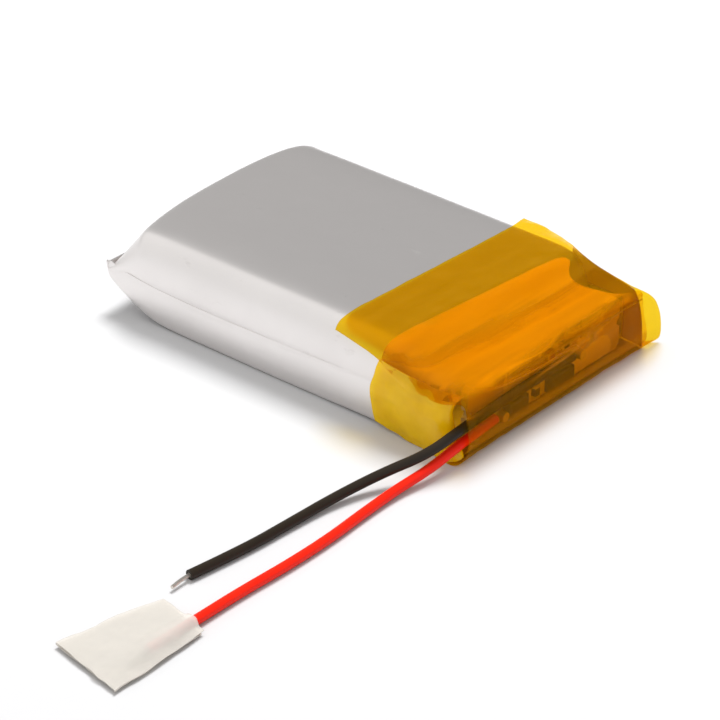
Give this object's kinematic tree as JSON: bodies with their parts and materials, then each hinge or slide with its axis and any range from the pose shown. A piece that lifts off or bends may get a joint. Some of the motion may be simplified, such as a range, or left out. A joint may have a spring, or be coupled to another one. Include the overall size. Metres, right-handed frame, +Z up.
{
  "type": "lithium polymer battery",
  "caption": "Flat lithium-polymer pouch cell with a protection board under amber tape and two thin leads, one bare-ended, one with a white tape flag.",
  "frame": {"origin": "middle of the flat face that the pack lies on", "axes": "+X from the folded end of the pouch to the board end, +Y across to the side away from the leads, +Z up through the thickness"},
  "size_m": [0.0327, 0.0551, 0.0066],
  "materials": {
    "laminate": "matt silver laminate film",
    "graphite_foil": "matt graphite coating",
    "oxide_foil": "matt oxide coating",
    "separator_film": "milky porous film",
    "roll_tape_film": "clear green film",
    "aluminium_tab": "bright rolled foil",
    "nickel": "satin nickel strip",
    "sealing_film": "translucent film",
    "insulating_paper": "matt insulating paper",
    "board_laminate": "green solder mask",
    "chip_resin": "matt moulded resin",
    "tin": "satin tin",
    "capacitor_ceramic": "fired ceramic",
    "resistor_glaze": "glazed ceramic",
    "amber_tape": "clear amber film, glossy",
    "black_insulation": "satin extruded plastic",
    "red_insulation": "satin extruded plastic",
    "tinned_copper": "twisted tinned strands",
    "solder": "bright solder",
    "white_tape": "creased translucent film"
  },
  "bodies": {
    "root": {"pouch_cup": "laminate", "pouch_lid": "laminate", "anode_strip": "graphite_foil", "cathode_strip": "oxide_foil", "separator_inner": "separator_film", "separator_outer": "separator_film", "roll_tape": "roll_tape_film", "positive_tab": "aluminium_tab", "negative_tab": "nickel", "tab_film_positive": "sealing_film", "tab_film_negative": "sealing_film", "terrace_insulator": "insulating_paper", "circuit_board": "board_laminate", "protection_chip": "chip_resin", "switch_chip": "chip_resin", "chip_terminals": "tin", "passive_terminals": "tin", "filter_capacitor": "capacitor_ceramic", "supply_resistor": "resistor_glaze", "sense_resistor": "resistor_glaze", "nickel_link_positive": "nickel", "nickel_link_negative": "nickel", "inner_tape": "amber_tape", "outer_tape": "amber_tape", "black_lead": "black_insulation", "red_lead": "red_insulation", "black_conductor": "tinned_copper", "red_conductor": "tinned_copper", "black_solder_joint": "solder", "red_solder_joint": "solder", "lead_end_flag": "white_tape"}
  },
  "joints": []
}
